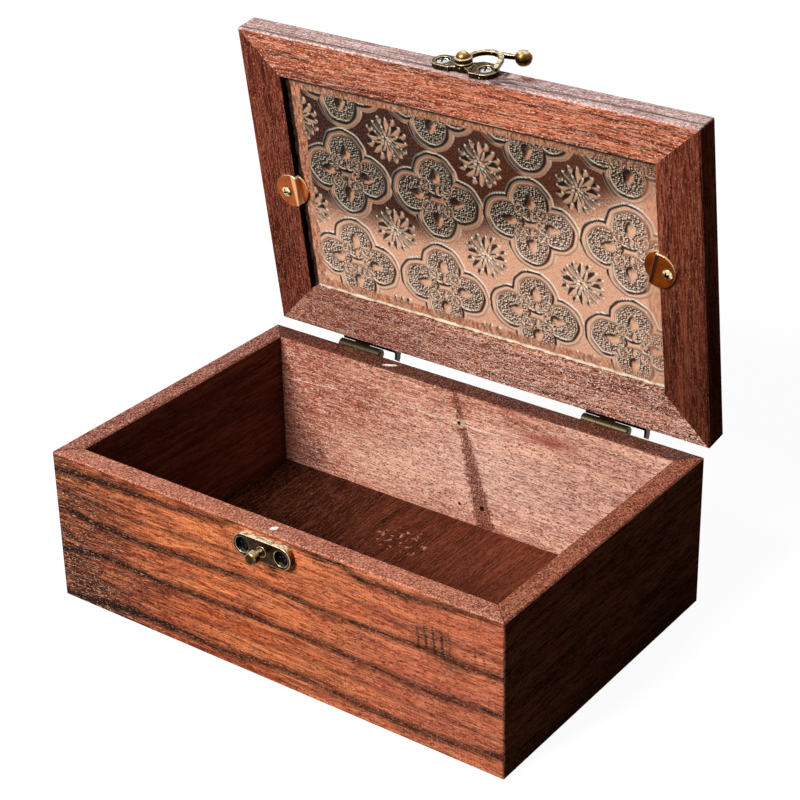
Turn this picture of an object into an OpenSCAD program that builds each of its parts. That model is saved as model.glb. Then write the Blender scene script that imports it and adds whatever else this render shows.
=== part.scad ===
// Jewelry box: a mitred wooden case, a hinged lid with a patterned glass pane,
// and a hook-and-stud latch. X runs along the front, Y to the back, Z up.
// The origin is the middle of the underside of the case.

/* [Case] */
// Width of the case, left to right
case_w = 200; // [150:1:300]
// Depth of the case, front to back
case_d = 131; // [100:1:200]
// Height of the case without the lid
case_h = 62; // [50:1:120]
// Thickness of the four walls
wall_t = 8.5; // [8:0.5:10]
// Thickness of the floor panel
floor_t = 4.8; // [3:0.2:8]
// How far the floor panel is let into each wall
floor_rabbet = 4.5; // [2:0.5:5]
// Flat taken off the sharp wooden edges
edge_break = 0.6; // [0.2:0.1:1]

/* [Lid frame] */
// Thickness of the lid frame
lid_t = 10.5; // [10:0.5:14]
// Width of the front rail, seen from inside the box
rail_front = 17; // [14:0.5:30]
// Width of the back rail
rail_back = 19; // [14:0.5:30]
// Width of the left and right rails
rail_side = 18; // [16:0.5:30]
// How far the lip behind the glass stands in from the rails
lip_w = 7; // [4:0.5:12]
// Gap left between lid and case when shut
lid_gap = 0.3; // [0.2:0.1:1]

/* [Glass] */
// Thickness of the glass pane
glass_t = 3.5; // [2:0.5:4]
// How deep the pane lies below the inside face of the lid
glass_recess = 2; // [1:0.5:3]
// Play round the edge of the pane
glass_play = 0.8; // [0.3:0.1:1.5]

/* [Glass clips] */
// Radius of the round clips
clip_r = 6.9; // [6:0.1:8]
// Sheet thickness of the clips
clip_t = 0.8; // [0.5:0.1:1]
// Left clip: distance from its screw to the middle of the disc
clip_left_offset = 2.1; // [1:0.1:4.5]
// Right clip: distance from its screw to the middle of the disc
clip_right_offset = 3.8; // [3:0.1:4.5]
// How far the middle of a disc sits along the rail from its screw
clip_skew = 0.6; // [0:0.1:1.5]
// Left clip: its screw from the lid's left edge
clip_left_inset = 13.6; // [12.5:0.1:15]
// Left clip: its screw forward of the hinge edge of the lid
clip_left_y = 63.3; // [40:0.1:90]
// Right clip: its screw from the lid's right edge
clip_right_inset = 14.2; // [12.5:0.1:15]
// Right clip: its screw forward of the hinge edge of the lid
clip_right_y = 71.4; // [40:0.1:90]
// Right clip: how far its bend is turned from the line of the rail
clip_right_turn = 15; // [0:1:18]
// Right clip: distance from the rail's edge to the bend
clip_right_bend = 1.9; // [1.9:0.1:2.6]

/* [Hinges] */
// Width of a hinge leaf
hinge_w = 26.4; // [24:0.2:34]
// Length of the rolled barrel
barrel_w = 19.8; // [16:0.2:21.4]
// Height of each leaf, from the pin's axis
leaf_h = 10; // [8:0.5:11]
// Sheet thickness of the leaves
leaf_t = 1; // [0.8:0.1:1.2]
// Radius of the hinge pin
pin_r = 1.2; // [1:0.05:1.3]
// Outer radius of the barrel
barrel_r = 2.25; // [2:0.05:2.3]
// Distance from the back of the case to the pin's axis
axis_back = 2.5; // [2.5:0.1:3]
// Distance from the top of the case down to the pin's axis
axis_drop = 1.2; // [0:0.1:2]
// Left hinge: from the left side of the box to the hinge's left end
hinge_left_inset = 31.4; // [12:0.2:50]
// Right hinge: from the right side of the box to the hinge's right end
hinge_right_inset = 27; // [12:0.2:50]
// Hinge screws: distance from the pin's axis
hinge_screw_z = 6.3; // [5.5:0.1:7]
// Hinge screws: the first one from the left end of the leaf
hinge_screw_in = 5.8; // [4:0.2:8]
// Hinge screws: distance between the two
hinge_screw_gap = 12.4; // [10:0.2:14]

/* [Latch] */
// Middle of the latch, from the middle of the box
latch_x = 1.7; // [-20:0.1:20]
// Rivet and latch screws above the inside face of the lid
latch_rise = 5.3; // [5:0.1:5.6]
// Distance between the two screws of the latch plate
latch_screw_gap = 18.6; // [16:0.2:24]
// Radius of the plate's left lobe
latch_left_r = 4.2; // [4:0.1:5]
// Radius of the plate's right lobe
latch_right_r = 4.9; // [4:0.1:5]
// Thickness of the latch plate
latch_t = 2.2; // [1.5:0.1:2.6]
// Narrowest half height of the latch plate
latch_waist = 2.4; // [1.8:0.1:3]
// Radius of the rivet's shank
rivet_r = 1.5; // [1.2:0.1:1.8]
// Radius of the rivet's domed head
rivet_head_r = 2.8; // [2.6:0.1:3.6]

/* [Hook] */
// Face of the wood to the back of the hook
hook_lift = 3.4; // [3.2:0.1:4]
// Thickness of the hook
hook_t = 1.8; // [1.5:0.1:2.2]
// Width of the hook's bars
hook_bar = 1.7; // [1.4:0.1:2]
// Middle radius of the hook's round arm
hook_arm_r = 6.3; // [6:0.1:6.6]
// Length from the rivet to the finger ball
tail_reach = 21.6; // [20:0.2:28]
// Radius of the finger ball
ball_r = 3.2; // [2.8:0.1:4]

/* [Keeper] */
// Keeper stud below the top of the case
keeper_drop = 6.2; // [6:0.1:8]
// Length of the keeper plate
keeper_len = 25.3; // [22:0.1:30]
// Height of the keeper plate
keeper_h = 8.6; // [8:0.1:9.6]
// Thickness of the keeper plate
keeper_t = 2.8; // [2:0.1:2.8]
// Distance between the two screws of the keeper
keeper_screw_gap = 17.2; // [15:0.1:17.6]
// Radius of the stud's neck
neck_r = 1.1; // [0.9:0.05:1.3]
// Radius of the stud's knob
knob_r = 2.35; // [1.8:0.05:2.6]
// Length of the stud, from the wood to its end
stud_len = 9; // [7:0.1:10]

/* [Pose] */
// How far the lid stands open
lid_open = 81.6; // [0:0.1:100]
// How far the lid opens before its hinges stop it
lid_stop = 100; // [95:1:110]
// How far the hook is turned away from the stud
hook_turn = 106; // [0:1:196]

/* [Hidden] */
$fn = 64;
// Running clearance of the lid's knuckle and of the hook, and the closer seat of a fixed pin
run_fit = 0.08;
seat_fit = 0.03;
// Play of the floor panel and of a screw in its pilot hole
panel_play = 0.25;
pilot_play = 0.05;
// Extra length of a cutting tool past the face it cuts
over = 1;

// Lid, in its shut place
lid_z = case_h + lid_gap;
lip_z = glass_recess + glass_t;
axis_y = case_d / 2 + axis_back;
axis_z = case_h - axis_drop;

// Hinge barrel: three knuckles with a little end play
knuckle_gap = 0.2;
knuckle_w = (barrel_w - 2 * knuckle_gap) / 3;
knuckle_pitch = knuckle_w + knuckle_gap;
// Each leaf starts just outside the circle that the other leaf's knuckles sweep
leaf_play = 0.2;
leaf_clear = sqrt(pow(barrel_r + leaf_play, 2) - pow(axis_back - leaf_t, 2));
hinge_left_x = -case_w / 2 + hinge_left_inset;
hinge_right_x = case_w / 2 - hinge_right_inset - hinge_w;
pin_out = 0.3;
// Stop ears at the right end of each hinge
ear_t = 1;
ear_in = 2;
ear_out = 4.6;
ear_lead = 45;
ear_touch = 0.8;
ear_root_in = 2.5;
hinge_screw_x = [hinge_screw_in, hinge_screw_in + hinge_screw_gap];

// Screws: [head radius, head height, shank radius, length in the wood]
hinge_screw = [1.9, 1.0, 0.9, 6.5];
clip_screw = [2.1, 1.1, 1.0, 6.5];
latch_screw = [2.7, 1.2, 1.1, 8];
keeper_screw = [2.4, 1.0, 1.0, 6];
sink = 1;
well_r = 3;
well_floor = 1.2;

// Hook, drawn latched: rivet at the origin, stud straight below it. The round arm leaves the
// boss to the right and runs on below the stud into a straight catch bar
latch_reach = latch_rise + lid_gap + keeper_drop;
hook_play = 0.25;
catch_r = latch_reach + neck_r + hook_play + hook_bar / 2;
catch_root = [0, -catch_r];
catch_tip = [-6.4, -catch_r];
arm_mid = [0, hook_arm_r - catch_r];
arm_start = 75;
arm_end = -90;
arm_branch = -38;
tail_root = arm_mid + hook_arm_r * [cos(arm_branch), sin(arm_branch)];
tail_angle = -80.5;
ball_at = tail_reach * [cos(tail_angle), sin(tail_angle)];
collar_r = 3.3;
boss_r = 3.3;
ball_flat = 4.9;
rivet_dome = 2.2;
tail_r = 2.4;
tail_depth = 1;
tail_play = 0.2;
neck_foot = hook_lift - 0.3;
neck_top = hook_lift + hook_t + hook_play;

WOOD = "#8f4c33";
WOOD_DARK = "#5e2f22";
BRONZE = "#6f5f41";
BRASS = "#c9973f";
GLASS = [0.8, 0.9, 0.85, 0.45];

// Places

// The lid's parts are drawn shut and turned about the hinge axis
module lid_pose() {
    translate([0, axis_y, axis_z])
        rotate([-lid_open, 0, 0])
            translate([0, -axis_y, -axis_z])
                children();
}

// On a front face: local Z points to the front, local Y up
module on_front(x, z) {
    translate([x, -case_d / 2, z]) rotate([90, 0, 0]) children();
}

module at_hinges() {
    for (x = [hinge_left_x, hinge_right_x]) translate([x, axis_y, axis_z]) children();
}

// Shared shapes

// A rectangle with its corners cut by the edge break
module broken_rect(w, d) {
    e = edge_break;
    polygon([
        [-w / 2 + e, -d / 2], [w / 2 - e, -d / 2], [w / 2, -d / 2 + e], [w / 2, d / 2 - e],
        [w / 2 - e, d / 2], [-w / 2 + e, d / 2], [-w / 2, d / 2 - e], [-w / 2, -d / 2 + e]
    ]);
}

// A board along X with its outer face on Y = 0, cut to a mitre that runs from its outer
// corner to the point `inner` = [along, inward]; profile is [inward, height] points
module mitred_board(length, profile, inner, height) {
    far = 2;
    intersection() {
        rotate([90, 0, 90]) linear_extrude(length, center = true) polygon(profile);
        translate([0, 0, -over])
            linear_extrude(height + 2 * over)
                polygon([
                    [-length / 2, 0], [length / 2, 0],
                    [length / 2 - far * inner[0], far * inner[1]],
                    [-length / 2 + far * inner[0], far * inner[1]]
                ]);
    }
}

// A round-headed screw: seat of the head on Z = 0, shank pointing down, cross cut on top
module screw(s) {
    head_r = s[0];
    head_h = s[1];
    dome_r = head_r * 1.6;
    tip = s[2] * 2;
    slot = head_r * 0.28;
    difference() {
        union() {
            intersection() {
                cylinder(r = head_r, h = head_h);
                translate([0, 0, head_h - dome_r]) sphere(r = dome_r);
            }
            translate([0, 0, -s[3] + tip]) cylinder(r = s[2], h = s[3] - tip + head_h / 3);
            translate([0, 0, -s[3]]) cylinder(r1 = 0.15, r2 = s[2], h = tip);
        }
        for (a = [0, 90])
            rotate([0, 0, a + 20])
                translate([0, 0, head_h])
                    cube([head_r * 1.25, slot, head_h], center = true);
    }
}

// The hole that a screw runs in, from `top` above its seat down into the wood
module pilot(s, top) {
    translate([0, 0, -s[3] - pilot_play * 4])
        cylinder(r = s[2] + pilot_play, h = s[3] + pilot_play * 4 + top);
}

// The pocket in the wood behind a plate, and the upset tail of a rivet in it
module tail_hole() {
    translate([0, 0, -tail_depth]) cylinder(r = tail_r + tail_play, h = tail_depth + over);
}

module rivet_tail() {
    translate([0, 0, -tail_depth + tail_play]) cylinder(r = tail_r, h = tail_depth - tail_play);
}

// A band along a circle of radius r from angle a0 to a1, with less than 170 degrees between
module arc_band(r, w, a0, a1) {
    mid = (a0 + a1) / 2;
    reach = 2.2 * r;
    intersection() {
        difference() {
            circle(r = r + w / 2);
            circle(r = r - w / 2);
        }
        polygon([
            [0, 0], reach * [cos(a0), sin(a0)],
            reach * [cos(mid), sin(mid)], reach * [cos(a1), sin(a1)]
        ]);
    }
}

// Case

wall_profile = [
    [edge_break, 0], [wall_t - floor_rabbet, 0], [wall_t - floor_rabbet, floor_t],
    [wall_t, floor_t], [wall_t, case_h - edge_break], [wall_t - edge_break, case_h],
    [edge_break, case_h], [0, case_h - edge_break], [0, edge_break]
];

// One wall of the given length whose outer face is half of `span` away from the middle
module wall(length, span) {
    intersection() {
        translate([0, -span / 2, 0])
            mitred_board(length, wall_profile, [wall_t, wall_t], case_h);
        linear_extrude(case_h) broken_rect(length, span);
    }
}

module front_wall() {
    color(WOOD) difference() {
        wall(case_w, case_d);
        keeper_place() {
            for (s = keeper_screw_spots) translate([s, 0, well_floor]) pilot(keeper_screw, over);
            tail_hole();
        }
    }
}

module back_wall() {
    color(WOOD) difference() {
        rotate([0, 0, 180]) wall(case_w, case_d);
        at_hinge_screws(-1) pilot(hinge_screw, over);
    }
}

module left_wall() {
    color(WOOD) rotate([0, 0, -90]) wall(case_d, case_w);
}

module right_wall() {
    color(WOOD) rotate([0, 0, 90]) wall(case_d, case_w);
}

module floor_panel() {
    lay_w = case_w - 2 * (wall_t - floor_rabbet + panel_play);
    lay_d = case_d - 2 * (wall_t - floor_rabbet + panel_play);
    color(WOOD_DARK)
        translate([-lay_w / 2, -lay_d / 2, 0])
            cube([lay_w, lay_d, floor_t]);
}

// Lid frame

// Side rails run to the same inner corner as the front and back rails
function rail_profile(rail) = [
    [edge_break, 0], [rail, 0], [rail, lip_z], [rail + lip_w, lip_z],
    [rail + lip_w, lid_t - edge_break], [rail + lip_w - edge_break, lid_t],
    [edge_break, lid_t], [0, lid_t - edge_break], [0, edge_break]
];

module rail(length, span, width, inner) {
    translate([0, 0, lid_z])
        intersection() {
            translate([0, -span / 2, 0])
                mitred_board(length, rail_profile(width), inner, lid_t);
            linear_extrude(lid_t) broken_rect(length, span);
        }
}

// Side rails meet two different rails, so each is cut by both mitre lines
module side_rail(turn) {
    side_in = rail_side + lip_w;
    front_in = rail_front + lip_w;
    back_in = rail_back + lip_w;
    translate([0, 0, lid_z])
        intersection() {
            rotate([0, 0, turn])
                translate([0, -case_w / 2, 0])
                    rotate([90, 0, 90])
                        linear_extrude(case_d, center = true)
                            polygon(rail_profile(rail_side));
            linear_extrude(lid_t) broken_rect(case_w, case_d);
            translate([0, 0, -over])
                linear_extrude(lid_t + 2 * over)
                    scale([sign(turn), 1])
                        polygon([
                            [case_w / 2, -case_d / 2],
                            [case_w / 2, case_d / 2],
                            [case_w / 2 - side_in, case_d / 2 - back_in],
                            [case_w / 2 - side_in, -case_d / 2 + front_in]
                        ]);
        }
}

module lid_front_rail() {
    color(WOOD) lid_pose() difference() {
        rail(case_w, case_d, rail_front, [rail_side + lip_w, rail_front + lip_w]);
        latch_place() {
            for (s = latch_screw_spots) translate([s, 0, latch_seat]) pilot(latch_screw, over);
            tail_hole();
        }
    }
}

module lid_back_rail() {
    color(WOOD) lid_pose() difference() {
        rotate([0, 0, 180])
            rail(case_w, case_d, rail_back, [rail_side + lip_w, rail_back + lip_w]);
        at_hinge_screws(1) pilot(hinge_screw, over);
    }
}

module lid_left_rail() {
    color(WOOD) lid_pose() difference() {
        side_rail(-90);
        clip_place(-1) pilot(clip_screw, over);
    }
}

module lid_right_rail() {
    color(WOOD) lid_pose() difference() {
        side_rail(90);
        clip_place(1) pilot(clip_screw, over);
    }
}

// Glass and its clips

module glass_pane() {
    pane_w = case_w - 2 * rail_side - 2 * glass_play;
    pane_d = case_d - rail_front - rail_back - 2 * glass_play;
    color(GLASS)
        lid_pose()
            translate([-pane_w / 2, -case_d / 2 + rail_front + glass_play, lid_z + glass_recess])
                cube([pane_w, pane_d, glass_t]);
}

// A clip's screw: side is -1 on the left rail and 1 on the right rail
function clip_inset(side) = side < 0 ? clip_left_inset : clip_right_inset;
function clip_y(side) = case_d / 2 - (side < 0 ? clip_left_y : clip_right_y);
function clip_offset(side) = side < 0 ? clip_left_offset : clip_right_offset;
function clip_bend(side) = side < 0 ? 0.1 : clip_right_bend;

module clip_place(side) {
    translate([side * (case_w / 2 - clip_inset(side)), clip_y(side), lid_z - clip_t])
        rotate([180, 0, 0])
            children();
}

// The disc lies on the rail, steps down past the rail's edge and ends flat on the glass
module glass_clip(side) {
    step = rail_side - clip_inset(side) + clip_bend(side);
    low = glass_recess + clip_t;
    far = 2 * clip_r;
    color(BRASS)
        lid_pose()
            clip_place(side)
                rotate([0, 0, side < 0 ? 0 : 180 - clip_right_turn])
                    difference() {
                        intersection() {
                            translate([clip_offset(side), clip_skew, -low])
                                cylinder(r = clip_r, h = low);
                            rotate([90, 0, 0])
                                linear_extrude(2 * far, center = true)
                                    polygon([
                                        [-far, 0], [step + clip_t, 0],
                                        [step + clip_t, -glass_recess], [far, -glass_recess],
                                        [far, -low], [step, -low],
                                        [step, -clip_t], [-far, -clip_t]
                                    ]);
                        }
                        translate([0, 0, -clip_t - over])
                            cylinder(r = clip_screw[2] + pilot_play, h = clip_t + 2 * over);
                    }
}

module left_glass_clip() {
    glass_clip(-1);
}

module right_glass_clip() {
    glass_clip(1);
}

module clip_screws() {
    color(BRASS) lid_pose() for (side = [-1, 1]) clip_place(side) screw(clip_screw);
}

// Hinges

// Screws of one leaf row: side is -1 on the case and 1 on the lid
module at_hinge_screws(side) {
    at_hinges()
        for (x = hinge_screw_x)
            translate([x, -axis_back + leaf_t, side * hinge_screw_z])
                rotate([-90, 0, 0])
                    children();
}

// A stop ear: a flat tab bent out of the leaf, from its root up to the leading edge at `lead`
module stop_ear(lead) {
    root = -axis_back + leaf_t / 2;
    translate([hinge_w - ear_t, 0, 0])
        rotate([90, 0, 90])
            linear_extrude(ear_t)
                polygon([
                    ear_in * [cos(lead), sin(lead)], ear_out * [cos(lead), sin(lead)],
                    ear_out * [cos(lead + 20), sin(lead + 20)],
                    ear_out * [cos(lead + 40), sin(lead + 40)],
                    [root, leaf_h - ear_root_in], [root, leaf_clear + leaf_play],
                    ear_in * [cos(lead + 50), sin(lead + 50)]
                ]);
}

// A leaf drawn upward from the axis, with knuckles at the given places
module hinge_leaf(knuckles, neck_back, lead) {
    difference() {
        union() {
            translate([0, -axis_back, leaf_clear])
                cube([hinge_w, leaf_t, leaf_h - leaf_clear]);
            for (k = knuckles)
                translate([k * knuckle_pitch, 0, 0]) {
                    rotate([0, 90, 0]) cylinder(r = barrel_r, h = knuckle_w);
                    translate([0, -neck_back, 0])
                        cube([knuckle_w, neck_back - barrel_r + leaf_t, leaf_clear]);
                    translate([0, -axis_back, axis_drop + lid_gap])
                        cube([knuckle_w, leaf_t, leaf_clear - axis_drop]);
                }
            stop_ear(lead);
        }
        translate([-over, 0, 0])
            rotate([0, 90, 0])
                cylinder(r = pin_r + (len(knuckles) > 1 ? seat_fit : run_fit), h = barrel_w + 2 * over);
        for (x = hinge_screw_x)
            translate([x, -axis_back - over, hinge_screw_z])
                rotate([-90, 0, 0])
                    cylinder(r = hinge_screw[2] + pilot_play, h = leaf_t + 2 * over);
    }
}

// The case's leaf is the same drawing mirrored below the axis
module case_leaf() {
    mirror([0, 0, 1]) hinge_leaf([0, 2], axis_back, lid_stop + ear_touch - ear_lead);
}

module lid_leaf() {
    hinge_leaf([1], barrel_r, ear_lead);
}

module hinge_pin() {
    translate([-pin_out, 0, 0]) rotate([0, 90, 0]) cylinder(r = pin_r, h = barrel_w + 2 * pin_out);
}

module left_hinge_case_leaf() {
    color(BRONZE) translate([hinge_left_x, axis_y, axis_z]) case_leaf();
}

module right_hinge_case_leaf() {
    color(BRONZE) translate([hinge_right_x, axis_y, axis_z]) case_leaf();
}

module left_hinge_lid_leaf() {
    color(BRONZE) lid_pose() translate([hinge_left_x, axis_y, axis_z]) lid_leaf();
}

module right_hinge_lid_leaf() {
    color(BRONZE) lid_pose() translate([hinge_right_x, axis_y, axis_z]) lid_leaf();
}

module left_hinge_pin() {
    color(BRONZE) translate([hinge_left_x, axis_y, axis_z]) hinge_pin();
}

module right_hinge_pin() {
    color(BRONZE) translate([hinge_right_x, axis_y, axis_z]) hinge_pin();
}

module hinge_case_screws() {
    color(BRONZE) at_hinge_screws(-1) screw(hinge_screw);
}

module hinge_lid_screws() {
    color(BRONZE) lid_pose() at_hinge_screws(1) screw(hinge_screw);
}

// Latch plate and rivet, on the lid's front edge

latch_screw_spots = [-latch_screw_gap / 2, latch_screw_gap / 2];
latch_seat = latch_t - sink;

module latch_place() {
    on_front(latch_x, lid_z + latch_rise) children();
}

module latch_plate() {
    bite_r = 6.5;
    color(BRONZE) lid_pose() latch_place() difference() {
        union() {
            linear_extrude(latch_t) {
                for (side = [0, 1]) {
                    lobe_r = side == 0 ? latch_left_r : latch_right_r;
                    translate([latch_screw_spots[side], 0]) circle(r = lobe_r);
                    difference() {
                        translate([side == 0 ? -latch_screw_gap / 2 : -0.5, -lobe_r])
                            square([latch_screw_gap / 2 + 0.5, 2 * lobe_r]);
                        for (s = [-1, 1])
                            translate([0, s * (latch_waist + bite_r)]) circle(r = bite_r);
                    }
                }
            }
            cylinder(r = collar_r, h = hook_lift - run_fit);
        }
        translate([0, 0, -over]) cylinder(r = rivet_r + seat_fit, h = hook_lift + 2 * over);
        for (s = latch_screw_spots) {
            translate([s, 0, latch_seat]) cylinder(r = latch_screw[0] + pilot_play, h = sink + over);
            translate([s, 0, -over]) cylinder(r = latch_screw[2] + pilot_play, h = latch_t + over);
        }
    }
}

module latch_screws() {
    color(BRONZE)
        lid_pose()
            latch_place()
                for (s = latch_screw_spots) translate([s, 0, latch_seat]) screw(latch_screw);
}

module latch_rivet() {
    head_z = hook_lift + hook_t + run_fit;
    dome_r = (rivet_head_r * rivet_head_r + rivet_dome * rivet_dome) / (2 * rivet_dome);
    color(BRONZE) lid_pose() latch_place() union() {
        rivet_tail();
        cylinder(r = rivet_r, h = head_z + 0.4);
        intersection() {
            translate([0, 0, head_z]) cylinder(r = rivet_head_r, h = rivet_dome);
            translate([0, 0, head_z + rivet_dome - dome_r]) sphere(r = dome_r);
        }
    }
}

// Hook

// A straight bar of the hook between two points
module hook_link(from, to) {
    run = to - from;
    translate(from)
        rotate([0, 0, atan2(run[1], run[0])])
            translate([0, -hook_bar / 2])
                square([norm(run), hook_bar]);
}

// Flat outline of the hook, latched: boss, round arm, catch bar and tail
module hook_outline() {
    circle(r = boss_r);
    translate(arm_mid) arc_band(hook_arm_r, hook_bar, arm_start, arm_end);
    hook_link(catch_root, catch_tip);
    translate(catch_tip) circle(r = hook_bar / 2);
    hook_link(tail_root, ball_at);
}

module latch_hook() {
    color(BRONZE) lid_pose() latch_place() rotate([0, 0, hook_turn]) difference() {
        union() {
            translate([0, 0, hook_lift]) linear_extrude(hook_t) hook_outline();
            translate([ball_at[0], ball_at[1], hook_lift + hook_t / 2])
                intersection() {
                    sphere(r = ball_r);
                    cube([4 * ball_r, 4 * ball_r, ball_flat], center = true);
                }
        }
        cylinder(r = rivet_r + run_fit, h = hook_lift + hook_t + over);
    }
}

// Keeper, on the front of the case

keeper_screw_spots = [-keeper_screw_gap / 2, keeper_screw_gap / 2];
keeper_ends = [-(keeper_len - keeper_h) / 2, (keeper_len - keeper_h) / 2];

module keeper_place() {
    on_front(latch_x, case_h - keeper_drop) children();
}

module keeper_plate() {
    color(BRONZE) keeper_place() difference() {
        linear_extrude(keeper_t) {
            for (s = keeper_ends) translate([s, 0]) circle(r = keeper_h / 2);
            square([keeper_len - keeper_h, keeper_h], center = true);
        }
        translate([0, 0, -over]) cylinder(r = neck_r + seat_fit, h = keeper_t + 2 * over);
        for (s = keeper_screw_spots) {
            translate([s, 0, well_floor]) cylinder(r = well_r, h = keeper_t);
            translate([s, 0, -over]) cylinder(r = keeper_screw[2] + pilot_play, h = keeper_t + over);
        }
    }
}

module keeper_stud() {
    foot_r = 2.6;
    color(BRONZE) keeper_place() union() {
        rivet_tail();
        cylinder(r = neck_r, h = stud_len - 0.5);
        translate([0, 0, keeper_t]) cylinder(r1 = foot_r, r2 = neck_r, h = neck_foot - keeper_t);
        translate([0, 0, neck_top]) cylinder(r1 = neck_r, r2 = knob_r, h = 0.6);
        translate([0, 0, neck_top + 0.6]) cylinder(r = knob_r, h = stud_len - neck_top - 1);
        translate([0, 0, stud_len - 0.4]) cylinder(r1 = knob_r, r2 = knob_r - 0.4, h = 0.4);
    }
}

module keeper_screws() {
    color(BRONZE)
        keeper_place()
            for (s = keeper_screw_spots) translate([s, 0, well_floor]) screw(keeper_screw);
}

front_wall();
back_wall();
left_wall();
right_wall();
floor_panel();
keeper_plate();
keeper_stud();
keeper_screws();
left_hinge_case_leaf();
right_hinge_case_leaf();
left_hinge_pin();
right_hinge_pin();
hinge_case_screws();
lid_front_rail();
lid_back_rail();
lid_left_rail();
lid_right_rail();
glass_pane();
left_glass_clip();
right_glass_clip();
clip_screws();
latch_plate();
latch_screws();
latch_rivet();
left_hinge_lid_leaf();
right_hinge_lid_leaf();
hinge_lid_screws();
latch_hook();
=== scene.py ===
# %% [markdown]
# # A wooden jewelry box with a patterned glass lid
#
# The box stands open: a mitred case, a lid frame round a pane of rolled glass, and a
# small hook that catches a stud on the front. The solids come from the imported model.
# This lesson dresses them: it gives every board its own grain, rolls the pattern into
# the glass, and rounds the stamped and cast metal parts.

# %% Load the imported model
import math
from collections import namedtuple

import bpy
import numpy as np
from mathutils import Matrix, Vector


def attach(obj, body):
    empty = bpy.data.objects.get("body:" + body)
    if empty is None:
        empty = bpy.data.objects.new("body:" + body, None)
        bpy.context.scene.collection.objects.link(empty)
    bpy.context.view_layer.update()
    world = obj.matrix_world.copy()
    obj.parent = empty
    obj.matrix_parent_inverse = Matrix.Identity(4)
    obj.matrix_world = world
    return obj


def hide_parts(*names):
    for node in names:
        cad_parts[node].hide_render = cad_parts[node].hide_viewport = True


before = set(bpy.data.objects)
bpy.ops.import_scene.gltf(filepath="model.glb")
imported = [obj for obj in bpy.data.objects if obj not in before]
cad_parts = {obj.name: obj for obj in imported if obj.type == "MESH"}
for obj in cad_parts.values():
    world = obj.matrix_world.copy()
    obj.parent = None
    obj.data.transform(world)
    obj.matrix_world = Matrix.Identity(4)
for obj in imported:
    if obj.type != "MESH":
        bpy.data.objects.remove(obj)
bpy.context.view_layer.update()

# %% [markdown]
# Lengths below are in millimetres, as a maker would read them off the box. The lid's
# own measures are taken as if it were shut, because its boards and its glass are
# straight there. One turn about the hinge pins brings them to the open place.

# %% Sizes and the turn of the lid
MM = 0.001
CASE_W, CASE_D, CASE_H = 200.0, 131.0, 62.0
LID_Z = CASE_H + 0.3
# Widths of the lid's rails, and how far their lip reaches over the glass
RAIL_FRONT, RAIL_BACK, RAIL_SIDE = 17.0, 19.0, 18.0
LIP = 7.0
LID_OPEN = math.radians(81.6)
PIVOT = Vector((0.0, CASE_D / 2 + 2.5, CASE_H - 1.2))

to_open = Matrix.Translation(PIVOT) @ Matrix.Rotation(-LID_OPEN, 4, "X") @ Matrix.Translation(-PIVOT)
to_shut = to_open.inverted()
print("the lid stands open by", round(math.degrees(LID_OPEN), 1), "degrees")


def opened(points):
    """Points of the shut lid, in mm, as points of the open lid in metres."""
    turn = np.array(to_open)
    points = np.asarray(points, dtype=float)
    return (points @ turn[:3, :3].T + turn[:3, 3]) * MM


# %% [markdown]
# Shader maths reads best as plain sums. The small class below wraps one socket of a
# node tree, so that `1 - mask` or `grain * 0.4` adds the Math nodes that it needs.
# A second class holds the tree of one finish and has one method for any other node.

# %% Shader sums
class Value:
    """A socket that can be used in sums."""

    def __init__(self, finish, socket):
        self.finish = finish
        self.socket = socket

    def sum_with(self, operation, first, second):
        """One Math node."""
        return self.finish.node("ShaderNodeMath", {"operation": operation}, {0: first, 1: second})

    def __add__(self, other):
        return self.sum_with("ADD", self, other)

    def __radd__(self, other):
        return self.sum_with("ADD", other, self)

    def __sub__(self, other):
        return self.sum_with("SUBTRACT", self, other)

    def __rsub__(self, other):
        return self.sum_with("SUBTRACT", other, self)

    def __mul__(self, other):
        return self.sum_with("MULTIPLY", self, other)

    def __rmul__(self, other):
        return self.sum_with("MULTIPLY", other, self)

    def __truediv__(self, other):
        return self.sum_with("DIVIDE", self, other)

    def __abs__(self):
        return self.sum_with("ABSOLUTE", self, 0.0)


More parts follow.
